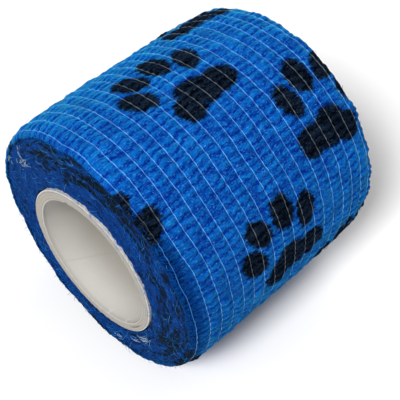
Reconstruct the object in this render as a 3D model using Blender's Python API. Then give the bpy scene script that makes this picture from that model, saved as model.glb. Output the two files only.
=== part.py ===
"""A cohesive bandage roll lying on its side: printed elastic cloth wound on a paperboard core.

The roll's axis runs along Y, halfway along the cloth's width at Y = 0, and the roll lies on Z = 0.
Sizes are millimetres until the last step, which makes them metres.
"""

import math

import bmesh
import bpy

# Driving dimensions, in millimetres.
CLOTH_WIDTH = 50.0
ROLL_RADIUS = 27.3  # mean radius of the outermost turn
PLY = 0.6  # one turn of cloth, which is also the step at its free end
CORE_RADIUS = 16.1
CORE_WALL = 1.9
CORE_PROUD = 0.65  # how far the core stands out of the cloth at each end
CORE_DROP = 2.0  # the soft turns under the core are pressed thinner than those above it
CORE_ASIDE = -0.5  # and those on the side of the free end thinner than those across from it
CORE_EDGE = 0.25  # worn edge of the cut core
GAP = 0.35  # between the core and the innermost turn
FLAT_DEPTH = 0.5  # how much of the round lies pressed flat on the table
FREE_END_ANGLE = 200.0  # degrees round from +X over the top: the side away from the print's best view
LIP = 0.35  # run of the step at the free end
BELOW = 270.0  # degrees round from +X over the top, where the roll meets the table
FULL_CIRCLE = 360.0

CLOTH_COLUMNS = 72
CORE_COLUMNS = 56
METRES = 0.001

# The cloth's end faces, from the core outwards: share of the wound thickness, depth below the end plane.
FACE = (
    {"share": 0.00, "depth": 0.45},
    {"share": 0.25, "depth": 0.25},
    {"share": 0.55, "depth": 0.00},
    {"share": 0.72, "depth": 0.05},
)

# The soft shoulder at each end: depth below the end plane, and how far the round has drawn in there.
NEAR_SHOULDER = (
    {"depth": 0.30, "drawn_in": 1.10},
    {"depth": 0.90, "drawn_in": 0.72},
    {"depth": 2.00, "drawn_in": 0.47},
    {"depth": 4.50, "drawn_in": 0.17},
    {"depth": 9.00, "drawn_in": 0.00},
)
FAR_SHOULDER = (
    {"depth": 0.30, "drawn_in": 1.45},
    {"depth": 1.10, "drawn_in": 0.93},
    {"depth": 2.60, "drawn_in": 0.55},
    {"depth": 5.50, "drawn_in": 0.18},
    {"depth": 10.0, "drawn_in": 0.00},
)



def clear_scene():
    for old in list(bpy.data.objects):
        bpy.data.objects.remove(old)


def material(name, colour, roughness):
    finish = bpy.data.materials.new(name)
    finish.use_nodes = True
    surface = finish.node_tree.nodes["Principled BSDF"]
    surface.inputs["Base Color"].default_value = (*colour, 1.0)
    surface.inputs["Roughness"].default_value = roughness
    surface.inputs["Metallic"].default_value = 0.0
    return finish


def turned(outline, columns):
    """Spins a closed outline of (radius, y) points about the Y axis into a ring."""
    mesh = bmesh.new()
    corners = [mesh.verts.new((radius, y, 0.0)) for radius, y in outline]
    edges = [mesh.edges.new((corner, corners[i - 1])) for i, corner in enumerate(corners)]
    bmesh.ops.spin(
        mesh,
        geom=corners + edges,
        cent=(0.0, 0.0, 0.0),
        axis=(0.0, -1.0, 0.0),
        angle=2.0 * math.pi,
        steps=columns,
        use_merge=True,
    )
    bmesh.ops.recalc_face_normals(mesh, faces=mesh.faces[:])
    return mesh


def new_piece(name, mesh, finish, parent):
    data = bpy.data.meshes.new(name)
    bmesh.ops.scale(mesh, vec=(METRES, METRES, METRES), verts=mesh.verts[:])
    mesh.to_mesh(data)
    mesh.free()
    data.shade_smooth()
    data.set_sharp_from_angle(angle=math.radians(40.0))
    data.materials.append(finish)
    piece = bpy.data.objects.new(name, data)
    bpy.context.scene.collection.objects.link(piece)
    piece.parent = parent
    return piece


def cloth_outline():
    """The wound cloth cut through on one side: near face, outside, far face and bore, in that order."""
    bore = CORE_RADIUS + GAP
    thickness = ROLL_RADIUS - bore
    half = CLOTH_WIDTH / 2.0
    near = [(bore + row["share"] * thickness, row["depth"] - half) for row in FACE]
    near += [(ROLL_RADIUS - row["drawn_in"], row["depth"] - half) for row in NEAR_SHOULDER]
    far = [(bore + row["share"] * thickness, half - row["depth"]) for row in FACE]
    far += [(ROLL_RADIUS - row["drawn_in"], half - row["depth"]) for row in FAR_SHOULDER]
    return near + far[::-1]


def wind(mesh):
    """Gives the turned ring its spiral outer turn, its low core and the flat it lies on."""
    bore = CORE_RADIUS + GAP
    whole_turn = 2.0 * math.pi
    free_end = math.radians(FREE_END_ANGLE)
    column = whole_turn / CLOTH_COLUMNS
    packing = (whole_turn - LIP / ROLL_RADIUS) / (whole_turn - column)
    grown_below = PLY * ((BELOW - FREE_END_ANGLE) / FULL_CIRCLE - 0.5)
    table = -(ROLL_RADIUS + grown_below - FLAT_DEPTH)
    for vert in mesh.verts:
        radius = math.hypot(vert.co.x, vert.co.z)
        round_from_x = math.atan2(vert.co.z, vert.co.x) % whole_turn
        place = round(round_from_x / column) % CLOTH_COLUMNS
        along_turn = place * column * packing
        out = (radius - bore) / (ROLL_RADIUS - bore)
        grown = radius + PLY * (along_turn / whole_turn - 0.5) * out
        angle = free_end + along_turn
        vert.co.x = grown * math.cos(angle) + CORE_ASIDE * (1.0 - out)
        vert.co.z = grown * math.sin(angle) - CORE_DROP * (1.0 - out)
        vert.co.z = max(vert.co.z, table)


def core_outline():
    """The core cut through on one side, with its worn edges."""
    half = CLOTH_WIDTH / 2.0 + CORE_PROUD
    inner = CORE_RADIUS - CORE_WALL
    return [
        (CORE_RADIUS, half - CORE_EDGE),
        (CORE_RADIUS - CORE_EDGE, half),
        (inner + CORE_EDGE, half),
        (inner, half - CORE_EDGE),
        (inner, CORE_EDGE - half),
        (inner + CORE_EDGE, -half),
        (CORE_RADIUS - CORE_EDGE, -half),
        (CORE_RADIUS, CORE_EDGE - half),
    ]


def build():
    clear_scene()
    blue_cloth = material("blue_cloth", (0.002, 0.100, 0.560), 0.9)
    paperboard = material("paperboard", (0.680, 0.630, 0.550), 0.8)

    cloth = turned(cloth_outline(), CLOTH_COLUMNS)
    wind(cloth)
    across = [vert.co.x for vert in cloth.verts]
    low = min(vert.co.z for vert in cloth.verts)
    roll = bpy.data.objects.new("roll_axis", None)
    bpy.context.scene.collection.objects.link(roll)
    roll.location = (-(max(across) + min(across)) / 2.0 * METRES, 0.0, -low * METRES)

    new_piece("bandage", cloth, blue_cloth, roll)
    core = turned(core_outline(), CORE_COLUMNS)
    bmesh.ops.translate(core, vec=(CORE_ASIDE, 0.0, -CORE_DROP), verts=core.verts[:])
    new_piece("core", core, paperboard, roll)


build()
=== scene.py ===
import math

import bmesh
import bpy
import numpy as np
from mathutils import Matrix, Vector


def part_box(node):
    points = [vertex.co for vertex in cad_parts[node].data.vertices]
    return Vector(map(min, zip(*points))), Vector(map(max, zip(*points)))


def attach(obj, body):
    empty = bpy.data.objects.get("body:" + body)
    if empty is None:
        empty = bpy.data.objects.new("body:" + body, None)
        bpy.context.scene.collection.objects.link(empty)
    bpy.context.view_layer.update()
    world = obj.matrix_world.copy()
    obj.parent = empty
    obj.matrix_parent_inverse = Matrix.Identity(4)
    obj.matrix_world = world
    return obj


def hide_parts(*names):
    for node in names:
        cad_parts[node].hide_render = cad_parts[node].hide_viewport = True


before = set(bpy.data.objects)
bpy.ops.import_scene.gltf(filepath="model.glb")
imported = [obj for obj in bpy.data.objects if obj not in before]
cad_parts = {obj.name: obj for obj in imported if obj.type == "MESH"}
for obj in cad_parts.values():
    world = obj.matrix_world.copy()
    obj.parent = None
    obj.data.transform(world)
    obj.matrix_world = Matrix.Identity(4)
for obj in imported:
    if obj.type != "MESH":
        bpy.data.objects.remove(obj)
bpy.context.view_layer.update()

MM = 0.001


# The studio. A white table in a pale room, lit by a soft lamp beside the camera, a faint one before the
# roll's near end and a wide one above and behind it. The camera stands up and to the right of the near
# end and looks down into the core.

CAMERA_AZIMUTH = math.radians(44.88)
CAMERA_ELEVATION = math.radians(50.05)
CAMERA_DISTANCE = 180.0 * MM
CAMERA_TO_THE_RIGHT = 2.19 * MM
CAMERA_UPWARD = -3.18 * MM
FILM_WIDTH = 36.0
PICTURE_WIDTH = 400
FOCAL_LENGTH_IN_PICTURE = 905.0
CORE_DROP = 2.0 * MM  # the core sits this much below the middle of the round
CORE_ASIDE = 0.5 * MM  # and this much to the side of it


def start_fresh():
    if bpy.context.object and bpy.context.object.mode != "OBJECT":
        bpy.ops.object.mode_set(mode="OBJECT")
    bpy.ops.object.select_all(action="DESELECT")


core_low, core_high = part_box("core")
core_middle = (core_low + core_high) / 2
roll_middle = core_middle + Vector((CORE_ASIDE, 0, CORE_DROP))

towards_camera = Vector((
    math.sin(CAMERA_AZIMUTH) * math.cos(CAMERA_ELEVATION),
    -math.cos(CAMERA_AZIMUTH) * math.cos(CAMERA_ELEVATION),
    math.sin(CAMERA_ELEVATION),
))
picture_right = Vector((math.cos(CAMERA_AZIMUTH), math.sin(CAMERA_AZIMUTH), 0))
picture_up = towards_camera.cross(picture_right)
camera_place = roll_middle + towards_camera * CAMERA_DISTANCE
camera_place += picture_right * CAMERA_TO_THE_RIGHT + picture_up * CAMERA_UPWARD

start_fresh()
bpy.ops.object.camera_add(
    location=camera_place,
    rotation=(math.pi / 2 - CAMERA_ELEVATION, 0, CAMERA_AZIMUTH),
)
camera = bpy.context.object
camera.data.sensor_width = FILM_WIDTH
camera.data.lens = FILM_WIDTH * FOCAL_LENGTH_IN_PICTURE / PICTURE_WIDTH
camera.data.clip_start = 0.01
bpy.context.scene.camera = camera
bpy.context.scene.view_settings.view_transform = "Standard"


class Wire:
    """One output in a material. Arithmetic on it adds Math nodes."""

    def __init__(self, finish, socket):
        self.finish = finish
        self.socket = socket

    def __add__(self, other):
        return self.finish.maths("ADD", self, other)

    def __sub__(self, other):
        return self.finish.maths("SUBTRACT", self, other)

    def __rsub__(self, other):
        return self.finish.maths("SUBTRACT", other, self)

    def __mul__(self, other):
        return self.finish.maths("MULTIPLY", self, other)

    def __lt__(self, other):
        return self.finish.maths("LESS_THAN", self, other)

    __radd__ = __add__
    __rmul__ = __mul__


class Finish:
    """A material being put together around its Principled BSDF."""

    def __init__(self, name, **same_all_over):
        self.material = bpy.data.materials.new(name)
        self.material.use_nodes = True
        self.nodes = self.material.node_tree.nodes
        self.links = self.material.node_tree.links
        self.surface = self.nodes["Principled BSDF"]
        for socket, value in same_all_over.items():
            self.surface.inputs[socket.replace("_", " ")].default_value = value

    def node(self, kind, settings=(), output=0, sockets=()):
        made = self.nodes.new(kind)
        for name, value in dict(settings).items():
            if name == "stops":
                self.set_stops(made.color_ramp, value)
            else:
                setattr(made, name, value)
        for socket, value in dict(sockets).items():
            self.plug(value, made.inputs[socket])
        return Wire(self, made.outputs[output])

    def plug(self, value, socket):
        if isinstance(value, Wire):
            self.links.new(value.socket, socket)
        elif isinstance(value, tuple) and len(value) == 3 and socket.type == "RGBA":
            socket.default_value = (*value, 1.0)
        else:
            socket.default_value = value

    def set_stops(self, ramp, stops):
        while len(ramp.elements) < len(stops):
            ramp.elements.new(1.0)
        for element, (position, colour) in zip(ramp.elements, stops):
            element.position = position
            element.color = (*colour, 1.0)

    def maths(self, operation, *values):
        sockets = {place: value for place, value in enumerate(values)}
        return self.node("ShaderNodeMath", {"operation": operation}, sockets=sockets)

    def vector(self, operation, *values):
        output = 1 if operation in ("LENGTH", "DISTANCE", "DOT_PRODUCT") else 0
        sockets = {place: value for place, value in enumerate(values)}
        return self.node("ShaderNodeVectorMath", {"operation": operation}, output, sockets)

    def scaled(self, vector, factors):
        return self.vector("MULTIPLY", vector, factors)

    def joined(self, x, y, z=0.0):
        return self.node("ShaderNodeCombineXYZ", sockets={"X": x, "Y": y, "Z": z})

    def part(self, vector, axis):
        return self.node("ShaderNodeSeparateXYZ", output=axis, sockets={"Vector": vector})

    def noise(self, vector, scale, detail=2.0, roughness=0.5, output=0):
        sockets = {"Vector": vector, "Scale": scale, "Detail": detail, "Roughness": roughness}
        return self.node("ShaderNodeTexNoise", {}, output, sockets)

    def ramp(self, value, low, high):
        """0 below low, 1 above high and smooth between them."""
        settings = {"interpolation_type": "SMOOTHSTEP"}
        sockets = {"Value": value, "From Min": low, "From Max": high}
        return self.node("ShaderNodeMapRange", settings, sockets=sockets)

    def mix(self, share, first, second):
        """Two colours, or a colour and a wire, mixed by share."""
        settings = {"data_type": "RGBA"}
        return self.node("ShaderNodeMix", settings, 2, {0: share, 6: first, 7: second})

    def bump(self, height, depth, strength):
        sockets = {"Height": height, "Distance": depth, "Strength": strength}
        return self.node("ShaderNodeBump", {}, sockets=sockets)

    def noted(self, name):
        """A number stored on the points of the piece."""
        return self.node("ShaderNodeAttribute", {"attribute_name": name}, 2)

    def noted_place(self, name):
        """A place stored on the points of the piece, in millimetres."""
        place = self.node("ShaderNodeAttribute", {"attribute_name": name}, 1)
        return self.scaled(place, (1 / MM, 1 / MM, 1 / MM))

    def lay_over(self, second, share):
        """Mixes a second surface over the first one."""
        first = Wire(self, self.surface.outputs[0])
        both = self.node("ShaderNodeMixShader", sockets={0: share, 1: first, 2: second})
        self.links.new(both.socket, self.nodes["Material Output"].inputs["Surface"])

    def finish(self, piece, **varying):
        for socket, value in varying.items():
            self.plug(value, self.surface.inputs[socket.replace("_", " ")])
        piece.data.materials.append(self.material)


TABLE_SIZE = 3.0
TABLE_WHITE = (0.78, 0.78, 0.78, 1.0)
ROOM_WHITE = (1.0, 1.0, 1.0, 1.0)
ROOM_LIGHT = 0.34
LAMP_DISTANCE = 1.0
KEY_TO_THE_LEFT = 0.31  # of the camera, and a little above it, for each metre from the roll
KEY_UPWARD = 0.06

start_fresh()
bpy.ops.mesh.primitive_plane_add(size=TABLE_SIZE, location=(roll_middle.x, 0, 0))
table = bpy.context.object
table.name = "table"
Finish("white_table", Base_Color=TABLE_WHITE, Roughness=0.9).finish(table)


def soft_lamp(name, from_roll, size, power):
    """A square lamp that shines at the roll's middle."""
    start_fresh()
    place = roll_middle + from_roll
    turn = (roll_middle - place).to_track_quat("-Z", "Y").to_euler()
    bpy.ops.object.light_add(type="AREA", location=place, rotation=turn)
    lamp = bpy.context.object
    lamp.name = name
    lamp.data.size = size
    lamp.data.energy = power


beside_camera = towards_camera - KEY_TO_THE_LEFT * picture_right + KEY_UPWARD * picture_up
before_the_end = Vector((-0.35, -0.75, 0.55))
above_and_behind = Vector((0.0, 0.70, 0.85))
soft_lamp("key_lamp", beside_camera.normalized() * LAMP_DISTANCE, size=0.25, power=12.0)
soft_lamp("window_lamp", before_the_end.normalized() * LAMP_DISTANCE, size=0.30, power=1.2)
soft_lamp("ceiling_lamp", above_and_behind, size=0.90, power=4.4)
room = bpy.data.worlds.new("pale_room")
room.use_nodes = True
room.node_tree.nodes["Background"].inputs["Color"].default_value = ROOM_WHITE
room.node_tree.nodes["Background"].inputs["Strength"].default_value = ROOM_LIGHT
bpy.context.scene.world = room


# The outermost turn of the bandage: one strip of soft non-woven cloth, creped across its length between
# elastic threads and printed with paw prints. Its free end is on the far side, stuck down on the turn
# beneath.

HALF_WIDTH = 25.0 * MM
ROLL_RADIUS = 27.3 * MM
PLY = 0.6 * MM
FREE_END = math.radians(200.0)  # round from +X over the top
TOP = math.radians(90.0)
FULL_TURN = 2 * math.pi
TUCKED_UNDER = 2.4 * MM  # the turn goes on this far beneath its free end
STRIP_END = (FREE_END - TOP) * ROLL_RADIUS
STRIP_START = STRIP_END - FULL_TURN * ROLL_RADIUS

THREADS = 18
THREAD_SPACING = 2.767 * MM
FIRST_THREAD = -24.15 * MM
CREPE_PITCH = 1.65 * MM
CREPE_HEIGHT = 0.48 * MM
CELL_BULGE = 0.15 * MM  # how far the cloth stands out between two threads
SUNK_IN = 0.80  # share of the crinkles' height that lies below the round's own radius
LEFT_STANDING = 0.3  # share of it that is left where the roll lies on the table
CORNER_RUN = 0.35 * MM
NEAR_RIPPLE = 0.25 * MM
FAR_RIPPLE = 0.48 * MM
RIPPLE_RUN = 3 * MM
NOISE_LATTICE = 512


def uneven(along, across, grain, seed, repeat=NOISE_LATTICE):
    """Smooth random heights from -1 to 1 in lumps about one grain long, the same after each repeat."""
    lattice = np.random.default_rng(seed).uniform(-1, 1, (NOISE_LATTICE, NOISE_LATTICE))
    u, v = along / grain[0], across / grain[1]
    column, row = np.floor(u).astype(int), np.floor(v).astype(int)
    u, v = u - column, v - row
    u, v = u * u * (3 - 2 * u), v * v * (3 - 2 * v)
    here = lambda i, j: lattice[(column + i) % repeat, (row + j) % NOISE_LATTICE]
    near = here(0, 0) * (1 - u) + here(1, 0) * u
    far = here(0, 1) * (1 - u) + here(1, 1) * u
    return near * (1 - v) + far * v


def thread_drift(along, across):
    """How far the threads lie to the side of straight lines: pulled aside in one place, and wobbly."""
    pulled = -0.50 * MM * np.exp(-(((along + 20 * MM) / (7 * MM)) ** 2))
    spread = 0.45 * MM * across / HALF_WIDTH * np.cos(FULL_TURN * (along + 20 * MM) / (100 * MM))
    lean = -0.30 * MM * np.sin(FULL_TURN * along / (171 * MM))
    wobble = 0.15 * MM * uneven(along, across, (4 * MM, 3 * MM), 11)
    return pulled + spread + lean + wobble


def crepe(along, across):
    """Height of the cloth's crinkles, with how high up a crinkle each point is, from 0 to 1."""
    cell = (across - thread_drift(along, across) - FIRST_THREAD) / THREAD_SPACING
    from_thread = np.abs(np.sin(np.pi * cell))
    drift = 0.34 * uneven(along, across, (5.5 * MM, 6.5 * MM), 21)
    drift += 0.26 * uneven(along, (cell - 0.5) * MM, (2.2 * MM, 1 * MM), 22)
    drift += 0.16 * uneven(along, across, (1.1 * MM, 0.9 * MM), 23)
    phase = along / CREPE_PITCH + drift + 0.05 * from_thread
    crest = np.abs(np.cos(np.pi * phase)) ** 1.05
    extra = np.clip(uneven(along, across, (1.9 * MM, 2.6 * MM), 27), 0, 1)
    crest = np.maximum(crest, 0.95 * extra * np.abs(np.sin(np.pi * phase)) ** 4)
    size = 0.66 + 0.55 * uneven(along, across, (2.0 * MM, 2.2 * MM), 24)
    height = CREPE_HEIGHT * crest * size * (0.38 + 0.62 * from_thread)
    height += CELL_BULGE * from_thread ** 0.7
    height += 0.10 * MM * uneven(along, across, (9 * MM, 7 * MM), 25)
    height += 0.08 * MM * uneven(along, across, (0.6 * MM, 1.3 * MM), 26)
    return height, np.clip(crest * (0.45 + 0.7 * size), 0, 1)


ENDS = (
    {"side": -1, "run": 9.0 * MM, "deep": 1.25 * MM, "corner": 0.35 * MM},
    {"side": 1, "run": 10.0 * MM, "deep": 1.66 * MM, "corner": 0.35 * MM},
)


def shoulder(across):
    """How far the round draws in towards each end of the roll."""
    drawn_in = 0
    for end in ENDS:
        from_end = HALF_WIDTH + end["side"] * -across
        run = np.clip(1 - from_end / end["run"], 0, 0.999)
        drawn_in = drawn_in + end["deep"] * (1 - np.sqrt(1 - run ** 2))
        drawn_in = drawn_in + end["corner"] * np.exp(-from_end / CORNER_RUN)
    return drawn_in


def lie_flat(radius, angle, height_above):
    """Shortens the radius where the roll would go below height_above over the table."""
    downward = np.maximum(-np.sin(angle), 1e-3)
    longest = (roll_middle.z - height_above) / downward
    return np.minimum(radius, longest)


def turn_radius(angle_on):
    """Radius of the spiral's outermost turn, angle_on past its start."""
    return ROLL_RADIUS + PLY * (angle_on / FULL_TURN - 0.5)


def wind(along, across, below):
    """Places a point of the flat strip on the roll. below is its depth under the strip's upper side."""
    angle = TOP + along / ROLL_RADIUS
    height, crest = crepe(along, across)
    radius = turn_radius((along - STRIP_START) / ROLL_RADIUS) - shoulder(across)
    radius = radius + height - SUNK_IN * (CREPE_HEIGHT + CELL_BULGE)
    pressed = LEFT_STANDING * (CREPE_HEIGHT + CELL_BULGE - height)
    radius = lie_flat(radius, angle, np.maximum(pressed, 0)) - below
    ripple = np.where(across > 0, FAR_RIPPLE, NEAR_RIPPLE)
    ripple = ripple * uneven(along, across, (2.9 * MM, 40 * MM), 31)
    at_edge = np.clip((np.abs(across) - HALF_WIDTH + RIPPLE_RUN) / RIPPLE_RUN, 0, 1)
    x = roll_middle.x + radius * np.cos(angle)
    z = roll_middle.z + radius * np.sin(angle)
    return x, across + ripple * at_edge * np.sign(-across), z, crest


def pick_edges(chosen):
    """Selects the edges in edit mode whose two ends chosen() accepts."""
    bpy.ops.mesh.select_mode(type="EDGE")
    bpy.ops.mesh.select_all(action="DESELECT")
    work = bmesh.from_edit_mesh(bpy.context.object.data)
    for edge in work.edges:
        edge.select = chosen(edge.verts[0].co, edge.verts[1].co)
    bmesh.update_edit_mesh(bpy.context.object.data)


def places(piece):
    flat = np.empty(len(piece.data.vertices) * 3)
    piece.data.vertices.foreach_get("co", flat)
    return flat.reshape(-1, 3)


def set_places(piece, x, y, z):
    piece.data.vertices.foreach_set("co", np.column_stack((x, y, z)).ravel())
    piece.data.update()


def note(piece, name, kind, values):
    """Stores values on the points of a piece for its material to read."""
    attribute = piece.data.attributes.new(name, kind, "POINT")
    attribute.data.foreach_set("vector" if kind == "FLOAT_VECTOR" else "value", values.ravel())


def new_box(name, low, high):
    """A box from one corner to the other, left in edit mode."""
    start_fresh()
    low, high = Vector(low), Vector(high)
    bpy.ops.mesh.primitive_cube_add(size=1.0, location=(low + high) / 2)
    box = bpy.context.object
    box.name = name
    box.scale = high - low
    bpy.ops.object.transform_apply(location=True, rotation=True, scale=True)
    bpy.ops.object.mode_set(mode="EDIT")
    return box


def cut(stages, axis, of_these=lambda place: True):
    """Cuts the chosen edges that run along an axis, each into as many pieces as the stages multiply to."""
    for pieces in stages:
        pick_edges(lambda a, b: of_these(a) and of_these(b) and abs((a - b).normalized()[axis]) > 0.99)
        bpy.ops.mesh.subdivide(number_cuts=pieces - 1)


outer_turn = new_box(
    "outer_turn", (STRIP_START - TUCKED_UNDER, -HALF_WIDTH, -PLY), (STRIP_END, HALF_WIDTH, 0)
)
cut((30, 24), 0)
cut((12, 10), 1, lambda place: abs(place.z) < 1e-6)
bpy.ops.object.mode_set(mode="OBJECT")
flat = places(outer_turn)
x, y, z, crest = wind(flat[:, 0], flat[:, 1], -flat[:, 2])
note(outer_turn, "cloth_place", "FLOAT_VECTOR", flat)
note(outer_turn, "crest", "FLOAT", crest)
# Where the cloth turns dull and dark: a matted band beyond the last thread at each edge, stronger round
# towards the front, the strip's underside, and painted shade low down by the near end.
beyond_thread = np.exp(-(HALF_WIDTH - np.abs(flat[:, 1])) / (1.0 * MM))
darker_towards_front = 0.40 + 0.60 * np.clip((-flat[:, 0] - 8 * MM) / (8 * MM), 0, 1)
near_end_shade = np.exp(-(flat[:, 1] + HALF_WIDTH) / (10 * MM))
low_down = np.clip((-flat[:, 0] - 9 * MM) / (14 * MM), 0, 1)
matted = beyond_thread * darker_towards_front + 0.58 * near_end_shade * low_down
underneath = flat[:, 2] / -PLY
note(outer_turn, "matted", "FLOAT", np.maximum(matted, underneath))
set_places(outer_turn, x, y, z)
bpy.ops.object.shade_smooth_by_angle(angle=math.radians(60))

PRINT_REPEAT = 38.3
TRACK_REPEAT = 50.4
LEFT_PRINT = (-2.0, 0.8)  # along and across, in millimetres: the middle of a left pad
RIGHT_PRINT = (-21.7, 16.0)
BETWEEN_TRACKS = 8.8
BEHIND_PAD = -8.0
RUBBED_AWAY = (21.3, -24.2, 0.0)  # where a toe at the cut edge has worn off
PAD = (
    {"along": -2.7, "across": -4.6, "long": 2.9, "wide": 3.2, "turn": 20},
    {"along": -0.6, "across": -0.7, "long": 3.6, "wide": 4.7, "turn": 20},
    {"along": -0.9, "across": 4.2, "long": 3.1, "wide": 3.8, "turn": 5},
)
TOES = (
    {"along": 4.7, "across": -10.2, "long": 3.8, "wide": 2.6, "turn": -45},
    {"along": 9.8, "across": -7.6, "long": 3.8, "wide": 2.5, "turn": -42},
    {"along": 10.5, "across": -1.3, "long": 3.9, "wide": 2.8, "turn": -4},
    {"along": 7.6, "across": 4.0, "long": 3.8, "wide": 2.4, "turn": 12},
)


def paw_print(finish, place):
    """Where the ink is, at a place on the strip in millimetres along and across: 0 bare, 1 inked."""
    middle = (0.5, 0.5, 0.5)
    for scale, reach in ((0.9, (1.7, 2.2, 0.0)), (2.6, (1.5, 2.4, 0.0))):
        ragged = finish.noise(finish.scaled(place, (1.9, 0.9, 1.0)), scale, 3.0, 0.7, output=1)
        ragged = finish.scaled(finish.vector("SUBTRACT", ragged, middle), reach)
        place = finish.vector("ADD", place, ragged)
    along = finish.part(place, 0)
    across = finish.part(place, 1)
    past_left = finish.maths("WRAP", across - BETWEEN_TRACKS, TRACK_REPEAT, 0.0)
    is_right = past_left < TRACK_REPEAT / 2
    pad_along = is_right * (RIGHT_PRINT[0] - LEFT_PRINT[0]) + LEFT_PRINT[0]
    along = finish.maths("WRAP", along - pad_along, BEHIND_PAD + PRINT_REPEAT, BEHIND_PAD)
    left_across = across - LEFT_PRINT[1]
    half = TRACK_REPEAT / 2
    right_across = finish.maths("WRAP", RIGHT_PRINT[1] - across, half, -half)
    across = left_across + is_right * (right_across - left_across)
    on_paw = finish.joined(along, across)
    nearest = None
    for blob in PAD + TOES:
        settings = {"vector_type": "TEXTURE"}
        sockets = {
            "Vector": on_paw,
            "Location": (blob["along"], blob["across"], 0.0),
            "Rotation": (0.0, 0.0, math.radians(blob["turn"])),
            "Scale": (blob["long"], blob["wide"], 1.0),
        }
        inside = finish.vector("LENGTH", finish.node("ShaderNodeMapping", settings, sockets=sockets))
        nearest = inside if nearest is None else finish.maths("MINIMUM", nearest, inside)
    streaks = finish.noise(finish.scaled(place, (5.0, 1.2, 1.0)), 1.0, 2.0, 0.6)
    kept = finish.ramp(finish.vector("DISTANCE", place, RUBBED_AWAY), 5.0, 7.0)
    return finish.ramp(nearest + (streaks - 0.5) * 0.5, 1.10, 0.90) * kept


BLUE_TOP = (0.0022, 0.115, 0.422)
FURROW_SHADE_BLUE = (0.0003, 0.012, 0.180)
CYAN_FLECK_HIGHLIGHT = (0.010, 0.230, 0.500)
PALE_HAIR = (0.055, 0.270, 0.640)
INK = (0.0004, 0.0010, 0.0028)
INK_CREST_HIGHLIGHT = (0.0062, 0.0140, 0.0300)
INKED_HAIR = (0.032, 0.046, 0.078)
MATTED_AND_SHADED_BLUE = (0.0010, 0.026, 0.140)

cloth = Finish("printed_crepe_cloth", Roughness=0.95, Sheen_Weight=0.90, Sheen_Roughness=0.24)
cloth.surface.inputs["Sheen Tint"].default_value = (0.03, 0.50, 0.62, 1.0)
cloth.surface.inputs["Specular IOR Level"].default_value = 0.02
place = cloth.noted_place("cloth_place")
crest_height = cloth.noted("crest")
pleats = cloth.noise(cloth.scaled(place, (2.4, 0.60, 1.0)), 1.0, 3.0, 0.6)
fibres = cloth.noise(cloth.scaled(place, (1.0, 0.8, 1.0)), 3.0, 3.0, 0.75)
hairs = cloth.noise(cloth.scaled(place, (5.5, 1.5, 1.0)), 1.0, 2.0, 0.6)
patches = cloth.noise(place, 0.30, 3.0, 0.6)
# Painted shade: the cloth is darker down in the crinkles' furrows and lighter on their crests, mixed with
# random fibre, pleat and patch tone.
tone_and_shade = crest_height * 0.85 + (pleats - 0.5) * 1.7 + (fibres - 0.5) * 2.4 + (patches - 0.5) * 0.6
blue = cloth.mix(cloth.ramp(tone_and_shade, -0.10, 1.25), FURROW_SHADE_BLUE, BLUE_TOP)
# Cyan flecks where random patches meet the highest crests: partly random tone, partly painted highlight.
blue = cloth.mix(cloth.ramp(tone_and_shade + (patches - 0.5) * 1.5, 1.00, 1.90) * 0.8, blue, CYAN_FLECK_HIGHLIGHT)
blue = cloth.mix(cloth.ramp(hairs, 0.57, 0.70) * 0.68, blue, PALE_HAIR)
blue = cloth.mix(cloth.ramp(hairs, 0.40, 0.28) * 0.60, blue, FURROW_SHADE_BLUE)
# Dull dark felt where the cloth is matted, with painted shade low down by the near end.
matted = cloth.ramp(cloth.noted("matted") + (fibres - 0.5) * 1.6, 0.30, 0.75)
felted_and_shaded = cloth.mix(cloth.ramp(fibres + (pleats - 0.5) * 0.6, 0.40, 0.56), INK, MATTED_AND_SHADED_BLUE)
# Painted highlight: the ink is lighter on the crinkles' crests and darker in their furrows.
ink = cloth.mix(cloth.ramp(tone_and_shade, 0.1, 1.3), INK, INK_CREST_HIGHLIGHT)
ink = cloth.mix(cloth.ramp(hairs, 0.57, 0.70) * 0.7, ink, INKED_HAIR)
relief = cloth.bump(pleats * 0.6 + fibres * 0.7, 0.32 * MM, 0.9)
cloth.finish(outer_turn, Base_Color=blue, Normal=relief)
inked = paw_print(cloth, place)
dull = cloth.mix(inked, felted_and_shaded, ink)
dull_cloth = cloth.node(
    "ShaderNodeBsdfPrincipled",
    sockets={
        "Base Color": dull,
        "Roughness": 0.9,
        "Specular IOR Level": 0.0,
        "Sheen Weight": 0.10,
        "Sheen Roughness": 0.25,
        "Sheen Tint": (0.12, 0.25, 0.48),
        "Normal": relief,
    },
)
cloth.lay_over(dull_cloth, cloth.maths("MAXIMUM", inked, matted * 0.9))

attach(outer_turn, "root")
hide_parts("bandage")


# The elastic threads: eighteen fine white elastic yarns laid along the strip, side by side, and glued
# into the cloth. They are taut, so they press the crinkles down and run round the roll on top of it.

THREAD_RADIUS = 0.060 * MM
THREAD_RISE = 0.075 * MM  # how far a thread's middle stands above the cloth
THREAD_SIDES = 5
THREAD_START = 0.5 * MM  # from the strip's inner end
WITHIN_EDGE = 0.972 * HALF_WIDTH
THREAD_LOW_ON_BLUE = (0.012, 0.140, 0.450)
THREAD_ON_BLUE = (0.135, 0.405, 0.770)
THREAD_LOW_ON_INK = (0.012, 0.018, 0.024)
THREAD_ON_INK = (0.140, 0.172, 0.200)


def new_yarn(name, sides, radius, stages):
    """A straight round yarn of length 1 along X, cut along its length in stages."""
    start_fresh()
    bpy.ops.mesh.primitive_cylinder_add(
        vertices=sides,
        radius=radius,
        depth=1.0,
        end_fill_type="NGON",
        rotation=(0, math.pi / 2, 0),
    )
    yarn = bpy.context.object
    yarn.name = name
    bpy.ops.object.transform_apply(location=True, rotation=True, scale=True)
    bpy.ops.object.mode_set(mode="EDIT")
    cut(stages, 0)
    bpy.ops.object.mode_set(mode="OBJECT")
    return yarn


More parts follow.
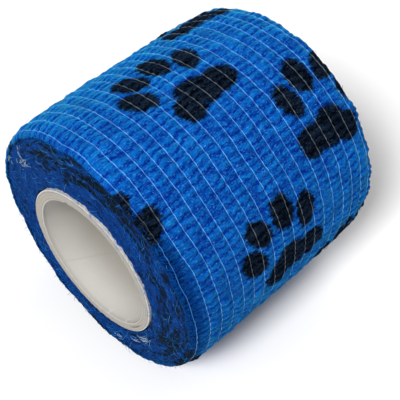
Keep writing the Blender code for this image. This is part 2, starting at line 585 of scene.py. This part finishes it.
def repeat_across(piece, count, step):
    """Copies a yarn until there are count of them, a step apart, and says which yarn each point is on."""
    in_one = len(piece.data.vertices)
    copies = piece.modifiers.new("side_by_side", "ARRAY")
    copies.count = count
    copies.use_relative_offset = False
    copies.use_constant_offset = True
    copies.constant_offset_displace = (0, step, 0)
    bpy.ops.object.modifier_apply(modifier=copies.name)
    return np.repeat(np.arange(count), in_one)


def smooth_outwards():
    bpy.ops.object.shade_smooth()
    bpy.ops.object.mode_set(mode="EDIT")
    bpy.ops.mesh.select_all(action="SELECT")
    bpy.ops.mesh.normals_make_consistent(inside=False)
    bpy.ops.object.mode_set(mode="OBJECT")


threads = new_yarn("elastic_threads", THREAD_SIDES, THREAD_RADIUS, (25, 24))
number = repeat_across(threads, THREADS, THREAD_SPACING)
flat = places(threads)
along = STRIP_START + THREAD_START + (flat[:, 0] + 0.5) * (STRIP_END - STRIP_START)
line = FIRST_THREAD + number * THREAD_SPACING
across = np.clip(line + thread_drift(along, line), -WITHIN_EDGE, WITHIN_EDGE)
x, y, z, crest = wind(along, across, -THREAD_RISE + 0 * along)
angle = TOP + along / ROLL_RADIUS
on_table = z < THREAD_RADIUS
note(threads, "cloth_place", "FLOAT_VECTOR", np.column_stack((along, across, 0 * along)))
# The first thread is darker low down by the near end: partly felt over it, partly painted shade.
low_down = np.clip((-along - 6 * MM) / (6 * MM), 0, 1) * np.clip((along + 42 * MM) / (6 * MM), 0, 1)
felted_over_and_shaded = low_down * (number == 0)
note(threads, "crest", "FLOAT", crest - 0.9 * felted_over_and_shaded)
set_places(
    threads,
    x + flat[:, 2] * np.cos(angle),
    y + flat[:, 1] - number * THREAD_SPACING,
    np.where(on_table, THREAD_RADIUS, z) + flat[:, 2] * np.sin(angle),
)
smooth_outwards()

elastic = Finish("white_elastic", Roughness=0.6)
place = elastic.noted_place("cloth_place")
speckle = elastic.noise(place, 1.7, 3.0, 0.7)
# A thread is paler where it rides on a crest and darker where it dips into a furrow or lies under fibres:
# partly fibres over it, partly painted shade.
uncovered_and_lit = elastic.ramp(elastic.noted("crest") * 0.7 + (speckle - 0.5) * 2.4, -0.05, 0.95)
over_blue = elastic.mix(uncovered_and_lit, THREAD_LOW_ON_BLUE, THREAD_ON_BLUE)
over_ink = elastic.mix(uncovered_and_lit, THREAD_LOW_ON_INK, THREAD_ON_INK)
elastic.finish(threads, Base_Color=elastic.mix(paw_print(elastic, place), over_blue, over_ink))

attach(threads, "root")


# The turns beneath: the rest of the strip, wound tight round the core. Their cut edges fill both ends of
# the roll, each a little higher or lower than the next, matted together and dark where the print was cut.

TURNS = 18
BORE_RADIUS = 16.45 * MM
UNDER_LAST_TURN = 0.62 * MM
WOUND_WIDTH = 11 * MM
WOUND_MIDDLE = 22 * MM
EDGE_FURROW_SHADE = (0.0002, 0.005, 0.060)
EDGE_BLUE = (0.0005, 0.050, 0.270)
EDGE_FLECK = (0.010, 0.140, 0.420)
INKED_EDGE_FLECK = (0.006, 0.026, 0.075)


def end_depth(share):
    """How far the middle of the wound edges lies below the end of the roll."""
    shares = (0.0, 0.12, 0.30, 0.60, 0.85, 1.0)
    return np.interp(share, shares, (-0.22, -0.18, -0.10, 0.05, 0.20, 0.50)) * MM


def matting(angle_on, share, long, wide, seed):
    """Random lumps long by wide, in millimetres, that follow the turns and close on themselves."""
    lumps = round(FULL_TURN * WOUND_MIDDLE / MM / long)
    return uneven(angle_on, share * WOUND_WIDTH, (FULL_TURN / lumps, wide * MM), seed, lumps)


def drop_ends():
    """Deletes the two faces of a cut box that meet when it is bent round."""
    bpy.ops.mesh.select_mode(type="FACE")
    bpy.ops.mesh.select_all(action="DESELECT")
    work = bmesh.from_edit_mesh(bpy.context.object.data)
    for face in work.faces:
        face.select = abs(face.normal.x) > 0.9
    bmesh.update_edit_mesh(bpy.context.object.data)
    bpy.ops.mesh.delete(type="ONLY_FACE")
    bpy.ops.object.mode_set(mode="OBJECT")


def close_round():
    """Sews the two ends of a wound box together where they meet, and turns its faces outward."""
    bpy.ops.object.mode_set(mode="EDIT")
    bpy.ops.mesh.select_all(action="SELECT")
    bpy.ops.mesh.remove_doubles(threshold=0.001 * MM)
    bpy.ops.mesh.normals_make_consistent(inside=False)
    bpy.ops.object.mode_set(mode="OBJECT")


def inked_edges(angle, angle_on, share):
    """How far the print reached the cut edges: mostly high on the outer turns and down the right side."""
    degrees = np.degrees(angle) % 360
    high = np.exp(-(((degrees - 85) / 48) ** 2)) * np.clip((share - 0.30) / 0.25, 0, 1)
    from_right = (degrees + 185) % 360 - 180
    right = np.exp(-((from_right / 42) ** 2)) * np.clip((share - 0.08) / 0.3, 0, 1)
    beneath = 0.45 * np.exp(-(((degrees - 275) / 40) ** 2)) * np.clip((0.3 - share) / 0.2, 0, 1)
    streaks = 0.8 * matting(angle_on, share, 3.4, 0.75, 51)
    streaks = streaks + 0.45 * matting(angle_on, share, 0.9, 0.4, 52)
    return streaks - 0.72 + 0.98 * np.maximum(np.maximum(high, right), beneath)


def on_end(from_start, share, side, depth):
    """Places a point of the cut edges, from_start round from the free end and share of the way out."""
    angle = FREE_END + from_start
    draw = shoulder(side * (HALF_WIDTH - 0.45 * MM))
    outside = lie_flat(turn_radius(from_start) - draw - UNDER_LAST_TURN, angle, 0.5 * PLY)
    radius = BORE_RADIUS + share * (outside - BORE_RADIUS)
    x = roll_middle.x + radius * np.cos(angle) - CORE_ASIDE * (1 - share)
    z = roll_middle.z + radius * np.sin(angle) - CORE_DROP * (1 - share)
    return x, side * (HALF_WIDTH - depth), z


wound_turns = new_box("wound_turns", (0, -1, 0), (FULL_TURN, 1, 1))
cut((24, 20), 0)
cut((11, 8), 2)
drop_ends()
flat = places(wound_turns)
from_start = flat[:, 0]
side = np.sign(flat[:, 1])
share = flat[:, 2]
turn = share * TURNS - from_start / FULL_TURN
edge = 0.5 - 0.5 * np.cos(FULL_TURN * turn)
lumps = 0.17 * matting(from_start, share, 2.6, 0.9, 41)
lumps += 0.12 * matting(from_start, share, 1.1, 0.5, 42)
lumps += 0.10 * matting(from_start, share, 0.6, 0.35, 43)
depth = end_depth(share) - MM * (lumps + 0.07 * edge)
note(wound_turns, "raised", "FLOAT", lumps * 1.8 + 0.2 * edge)
note(wound_turns, "inked", "FLOAT", inked_edges(FREE_END + from_start, from_start, share))
in_ring = (
    WOUND_MIDDLE * np.cos(from_start),
    WOUND_MIDDLE * np.sin(from_start),
    share * WOUND_WIDTH * 2.0,
)
note(wound_turns, "in_ring", "FLOAT_VECTOR", np.column_stack(in_ring))
set_places(wound_turns, *on_end(from_start, share, side, depth))
close_round()
bpy.ops.object.shade_smooth_by_angle(angle=math.radians(60))

edges = Finish("matted_cloth_edges", Roughness=0.95, Sheen_Weight=0.04, Sheen_Roughness=0.5)
edges.surface.inputs["Sheen Tint"].default_value = (0.05, 0.50, 1.0, 1.0)
edges.surface.inputs["Specular IOR Level"].default_value = 0.06
place = edges.noted_place("in_ring")
wool = edges.noise(place, 1.1, 5.0, 0.8)
specks = edges.noise(place, 3.0, 2.0, 0.7)
# Painted shade: the cut edges are darker where they lie lower, between the raised lumps and ply edges,
# mixed with random wool and speck tone.
tone_and_shade = edges.noted("raised") * 0.5 + (wool - 0.5) * 2.4 + (specks - 0.5) * 2.6
blue = edges.mix(edges.ramp(tone_and_shade, -0.65, 0.95), EDGE_FURROW_SHADE, EDGE_BLUE)
blue = edges.mix(edges.ramp(specks, 0.60, 0.74) * 0.7, blue, EDGE_FLECK)
black = edges.mix(edges.ramp(specks, 0.55, 0.74), INK, INKED_EDGE_FLECK)
inked = edges.noted("inked") * 1.5 + (wool - 0.5) * 3.0 + (specks - 0.5) * 2.6
colour = edges.mix(edges.ramp(inked, -0.45, 0.35), blue, black)
relief = edges.bump(wool + specks * 0.6, 0.4 * MM, 0.9)
edges.finish(wound_turns, Base_Color=colour, Normal=relief)

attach(wound_turns, "root")


# The core: a short tube wound from grey-brown paperboard with a smooth white lining and a white outer
# sheet, cut square at both ends. It stands a little out of the cloth.

CORE_OUTSIDE = 16.1 * MM
CORE_WALL = 2.0 * MM
WALL_THICKEST = math.radians(150.0)  # round from +X over the top, as the two below
NOTCH = math.radians(112.0)
PLY_SPLIT = math.radians(-38.0)
SPLIT_LAYER = 0.45  # share of the wall, outwards, as the layers of the plies
NOTCHED_TO = 0.45
ACROSS_SEAM = (0.878, -0.478, 0.0)  # the lining's spiral seam, on the unrolled lining in millimetres
SEAM_PLACE = 67.4
NO_PAINTED_SHADE_TO = 23.5  # millimetres from the middle of the bore; the lining's painted shade starts here and is full at the next distance
FULL_PAINTED_SHADE_FROM = 14.5
LINING_LOW = (0.45, 0.433, 0.405)
LINING_HIGH = (0.53, 0.513, 0.485)
SEAM_SHADE = (0.22, 0.20, 0.17)
LINING_PAINTED_SHADE = (0.240, 0.226, 0.194)
PLY_FLECK = (0.20, 0.175, 0.14)
SPLIT_SHADE = (0.10, 0.085, 0.065)
WHITE_SHEET_LOW = (0.47, 0.46, 0.45)
WHITE_SHEET_HIGH = (0.55, 0.54, 0.53)
core_half = core_high.y


def near_angle(angle, middle, wide):
    """1 at the middle angle, falling to 0 on both sides of it."""
    away = (angle - middle + math.pi) % FULL_TURN - math.pi
    return np.exp(-((away / wide) ** 2))


tube = new_box("core_tube", (0, -1, 0), (FULL_TURN, 1, 1))
cut((20, 15), 0)
cut((6, 3), 2)
cut((6, 5), 1)
drop_ends()
flat = places(tube)
angle = flat[:, 0]
share = flat[:, 2]
wall = CORE_WALL * (1 + 0.10 * np.cos(angle - WALL_THICKEST))
wavy = 0.05 * MM * uneven(angle, 0 * angle, (FULL_TURN / 24, 1), 61, 24)
radius = CORE_OUTSIDE - (wall + wavy) * (1 - share)
split = near_angle(angle, PLY_SPLIT, 0.22)
worn = 0.10 * MM * np.exp(-np.minimum(share, 1 - share) / 0.05)
worn += 0.30 * MM * near_angle(angle, NOTCH, 0.035) * (share < NOTCHED_TO)
worn += 0.12 * MM * split * np.exp(-(((share - SPLIT_LAYER) / 0.08) ** 2))
worn += 0.04 * MM * (1 + uneven(angle, share, (FULL_TURN / 220, 0.12), 62, 220))
at_end = np.abs(flat[:, 1]) > 0.999
unrolled = angle * CORE_OUTSIDE, flat[:, 1] * core_half, share * CORE_WALL
note(tube, "layer", "FLOAT", share)
note(tube, "cut_end", "FLOAT", at_end * 1.0)
note(tube, "split", "FLOAT", split * np.exp(-(((share - SPLIT_LAYER) / 0.10) ** 2)))
note(tube, "unrolled", "FLOAT_VECTOR", np.column_stack(unrolled))
set_places(
    tube,
    core_middle.x + radius * np.cos(angle),
    flat[:, 1] * (core_half - np.where(at_end, worn, 0)),
    core_middle.z + radius * np.sin(angle),
)
close_round()
bpy.ops.object.shade_smooth_by_angle(angle=math.radians(50))

board = Finish("paperboard", Roughness=0.75)
place = board.scaled(board.node("ShaderNodeTexCoord", {}, 3), (1 / MM, 1 / MM, 1 / MM))
layer = board.noted("layer")
cut_end = board.noted("cut_end")
grain = board.noise(place, 2.2, 4.0, 0.65)
flecks = board.noise(place, 6.0, 2.0, 0.6)
clouds = board.noise(place, 0.22, 2.0, 0.5)
lining = board.mix(grain * 0.6 + clouds * 0.4, LINING_LOW, LINING_HIGH)
across_seam = board.vector("DOT_PRODUCT", board.noted_place("unrolled"), ACROSS_SEAM)
seam = board.ramp(board.maths("ABSOLUTE", across_seam - SEAM_PLACE), 0.40, 0.05)
lining = board.mix(seam * 0.12, lining, SEAM_SHADE)
# Painted shade: the lining is painted darker deeper inside the bore, away from both ends.
from_middle = board.maths("ABSOLUTE", board.part(place, 1))
deep_painted_shade = board.ramp(from_middle, NO_PAINTED_SHADE_TO, FULL_PAINTED_SHADE_FROM)
lining = board.mix(deep_painted_shade * 0.85, lining, LINING_PAINTED_SHADE)
plies = board.node(
    "ShaderNodeValToRGB",
    {
        "stops": (
            (0.00, (0.40, 0.385, 0.355)),
            (0.10, (0.33, 0.32, 0.295)),
            (0.16, (0.19, 0.17, 0.145)),
            (0.22, (0.27, 0.25, 0.215)),
            (0.46, (0.285, 0.266, 0.23)),
            (0.50, (0.20, 0.183, 0.157)),
            (0.54, (0.285, 0.266, 0.23)),
            (0.80, (0.26, 0.244, 0.210)),
            (0.86, (0.13, 0.12, 0.105)),
            (0.90, (0.42, 0.41, 0.395)),
            (1.00, (0.46, 0.45, 0.44)),
        )
    },
    sockets={"Fac": layer + (grain - 0.5) * 0.06},
)
plies = board.mix(board.ramp(flecks, 0.50, 0.80) * 0.5, plies, PLY_FLECK)
parted = board.ramp(board.noted("split") + (grain - 0.5) * 0.8, 0.35, 0.75)
plies = board.mix(parted, plies, SPLIT_SHADE)
white_sheet = board.mix(grain, WHITE_SHEET_LOW, WHITE_SHEET_HIGH)
colour = board.mix(board.ramp(layer, 0.80, 0.90), lining, white_sheet)
colour = board.mix(board.ramp(cut_end, 0.30, 0.90), colour, plies)
relief = grain * 0.5 + flecks * cut_end * 0.8 + seam * 0.5
board.finish(tube, Base_Color=colour, Normal=board.bump(relief, 0.08 * MM, 0.6))

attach(tube, "root")
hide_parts("core")


# Loose fibres: the cloth is a felt of short fibres, whose ends stand out of its cut edges and of its face.
# Some lie from the innermost turns over the near rim of the core.

FIBRE_SIDES = 3
FIBRE_JOINTS = 5
FIBRE_THICKNESS = 0.030 * MM
ON_EACH_END = 1400
ON_THE_FACE = 1500
OVER_THE_RIM = 110
OVER_RIM_THICKNESS = 0.55  # of a fibre's usual one
FACE_LENGTH = 0.75  # of a near end fibre's
FAR_END_LENGTH = 0.55
SHADED_FIBRE = (0.0005, 0.030, 0.230)
BLUE_FIBRE = (0.008, 0.170, 0.460)
PALE_FIBRE = (0.090, 0.300, 0.560)
INKED_FIBRE = (0.012, 0.018, 0.028)
draws = np.random.default_rng(71)


def unit(vectors):
    return vectors / np.linalg.norm(vectors, axis=1)[:, None]


def round_the_axis(angle, outward, onward, along_axis=0.0):
    """Directions given by how far they go outward, round the roll and along its axis."""
    x = outward * np.cos(angle) - onward * np.sin(angle)
    z = outward * np.sin(angle) + onward * np.cos(angle)
    return np.column_stack((x, along_axis + 0 * angle, z))


def strew(name, start, forward, lift, long, curl, thick):
    """Curved fibres from their starts, each with its own direction, way up, length, curl and thickness."""
    fibres = new_yarn(name, FIBRE_SIDES, FIBRE_THICKNESS, (FIBRE_JOINTS,))
    number = repeat_across(fibres, len(start), MM)
    flat = places(fibres)
    flat[:, 1] -= number * MM
    forward = unit(forward)
    aside = unit(np.cross(forward, lift))
    up = np.cross(aside, forward)
    far = (flat[:, 0] + 0.5)[:, None]
    long, curl, thick = long[number, None], curl[number, None], thick[number, None]
    thin_ends = 1 - 0.5 * np.abs(2 * far - 1) ** 3
    middle = start[number] + long * (far * forward[number] + curl * far ** 2 * aside[number])
    middle += long * 0.45 * far * (1 - far) * up[number]
    round_it = flat[:, 1:2] * aside[number] + flat[:, 2:3] * up[number]
    place = middle + thin_ends * thick * round_it
    above_table = np.maximum(place[:, 2], FIBRE_THICKNESS + flat[:, 2])
    set_places(fibres, place[:, 0], place[:, 1], above_table)
    smooth_outwards()
    return fibres, number


def end_fibres(side, count):
    """Starts, directions and ways up of fibres that stand out of one end."""
    from_start = draws.uniform(0, FULL_TURN, count)
    share = 1 - draws.uniform(0, 1, count) ** 1.4
    angle = FREE_END + from_start
    depth = end_depth(share) - 0.02 * MM
    start = np.column_stack(on_end(from_start, share, side + 0 * angle, depth))
    onward = draws.normal(0, 1, count)
    outward = draws.normal(0.0, 0.45, count)
    out_of_end = side * draws.uniform(0.05, 0.5, count)
    forward = round_the_axis(angle, outward, onward, out_of_end)
    return start, forward, np.tile((0.0, side, 0.0), (count, 1))


def rim_fibres(count):
    """The same for fibres that lie from the innermost turns over the near rim's edge."""
    angle = draws.normal(math.radians(62), math.radians(40), count)
    out = CORE_OUTSIDE + draws.uniform(0.0, 0.7, count) * MM
    start = np.column_stack((
        core_middle.x + out * np.cos(angle),
        core_low.y - draws.uniform(-0.35, 0.05, count) * MM,
        core_middle.z + out * np.sin(angle),
    ))
    outward = draws.normal(-0.35, 0.4, count)
    onward = draws.normal(0, 1, count)
    forward = round_the_axis(angle, outward, onward, -0.12)
    return start, forward, np.tile((0.0, -1.0, 0.0), (count, 1))


def face_fibres(count):
    """The same for fibres that lie on the outer turn, with their places on the flat strip."""
    along = draws.uniform(STRIP_START + 1 * MM, STRIP_END - 1 * MM, count)
    across = draws.uniform(-1, 1, count) * (HALF_WIDTH - 0.3 * MM)
    x, y, z, _ = wind(along, across, 0 * along)
    angle = TOP + along / ROLL_RADIUS
    onward = draws.normal(0, 1, count)
    outward = draws.uniform(0.0, 0.30, count)
    along_axis = draws.normal(0, 1, count)
    forward = round_the_axis(angle, outward, onward, along_axis)
    lift = round_the_axis(angle, 1.0, 0.0)
    on_strip = np.column_stack((along, across, 0 * along))
    return np.column_stack((x, y, z)), forward, lift, on_strip


kinds = [end_fibres(-1, ON_EACH_END), end_fibres(1, ON_EACH_END), rim_fibres(OVER_THE_RIM)]
on_face = face_fibres(ON_THE_FACE)
kinds.append(on_face[:3])
start, forward, lift = (np.concatenate(parts) for parts in zip(*kinds))
count = len(start)
lies_on_face = np.arange(count) >= count - ON_THE_FACE
long = draws.uniform(0.5, 1.7, count) * MM
long[lies_on_face] *= FACE_LENGTH
long[ON_EACH_END:2 * ON_EACH_END] *= FAR_END_LENGTH
curl = draws.normal(0, 0.45, count)
thick = draws.uniform(0.7, 1.3, count)
over_rim = np.arange(2 * ON_EACH_END, 2 * ON_EACH_END + OVER_THE_RIM)
thick[over_rim] = OVER_RIM_THICKNESS
fuzz, number = strew("loose_fibres", start, forward, lift, long, curl, thick)
cloth_place = np.zeros((count, 3))
cloth_place[lies_on_face] = on_face[3]
note(fuzz, "cloth_place", "FLOAT_VECTOR", cloth_place[number])
note(fuzz, "lies_on_face", "FLOAT", lies_on_face[number] * 1.0)
paleness = draws.uniform(0, 1, count)
paleness[over_rim] = 0.75 + 0.25 * paleness[over_rim]
note(fuzz, "paleness", "FLOAT", paleness[number])

felt = Finish("blue_fibres", Roughness=0.9)
felt.surface.inputs["Specular IOR Level"].default_value = 0.10
paleness = felt.noted("paleness")
colour = felt.mix(felt.ramp(paleness, 0.1, 1.0), SHADED_FIBRE, BLUE_FIBRE)
colour = felt.mix(felt.ramp(paleness, 0.90, 0.97) * 0.7, colour, PALE_FIBRE)
dark = felt.mix(paleness, INK, INKED_FIBRE)
inked = paw_print(felt, felt.noted_place("cloth_place")) * felt.noted("lies_on_face")
felt.finish(fuzz, Base_Color=felt.mix(inked, colour, dark))

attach(fuzz, "root")


# White lint: fine cotton fibres that have caught on the near end in seven small tufts. The fibres of a
# tuft start close together and lie much the same way.

TUFTS = (
    {"degrees": 159, "out": 24.6, "fibres": 9, "long": 1.4},  # out and long are in millimetres
    {"degrees": 142, "out": 23.9, "fibres": 5, "long": 2.0},
    {"degrees": 151, "out": 21.9, "fibres": 8, "long": 1.6},
    {"degrees": 147, "out": 21.6, "fibres": 16, "long": 3.0},
    {"degrees": 304, "out": 20.4, "fibres": 8, "long": 1.6},
    {"degrees": 284, "out": 22.6, "fibres": 8, "long": 1.4},
    {"degrees": 318, "out": 19.0, "fibres": 10, "long": 3.0},
)
LINT_THICKNESS = 0.9  # of a blue fibre's
LINT_SHADED = (0.16, 0.34, 0.42)
LINT_WHITE = (0.55, 0.66, 0.66)

starts, ways, longs = [], [], []
for tuft in TUFTS:
    many = tuft["fibres"]
    angle = math.radians(tuft["degrees"]) + draws.normal(0, 0.6, many) / tuft["out"]
    out = tuft["out"] * MM + draws.normal(0, 0.35, many) * MM
    starts.append(np.column_stack((
        roll_middle.x + out * np.cos(angle),
        -HALF_WIDTH - draws.uniform(-0.05, 0.25, many) * MM,
        roll_middle.z + out * np.sin(angle),
    )))
    outward = draws.normal(0, 0.3, many)
    onward = draws.normal(-0.9, 0.3, many)
    ways.append(round_the_axis(angle, outward, onward, -0.15))
    longs.append(draws.uniform(0.5, 1.0, many) * tuft["long"] * MM)
start = np.concatenate(starts)
forward = np.concatenate(ways)
count = len(start)
lift = np.tile((0.0, -1.0, 0.0), (count, 1))
long = np.concatenate(longs)
curl = draws.normal(0, 0.25, count)
thick = np.full(count, LINT_THICKNESS)
lint, number = strew("white_lint", start, forward, lift, long, curl, thick)
note(lint, "paleness", "FLOAT", draws.uniform(0, 1, count)[number])

cotton = Finish("white_lint", Roughness=0.9)
cotton.finish(lint, Base_Color=cotton.mix(cotton.noted("paleness"), LINT_SHADED, LINT_WHITE))

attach(lint, "root")
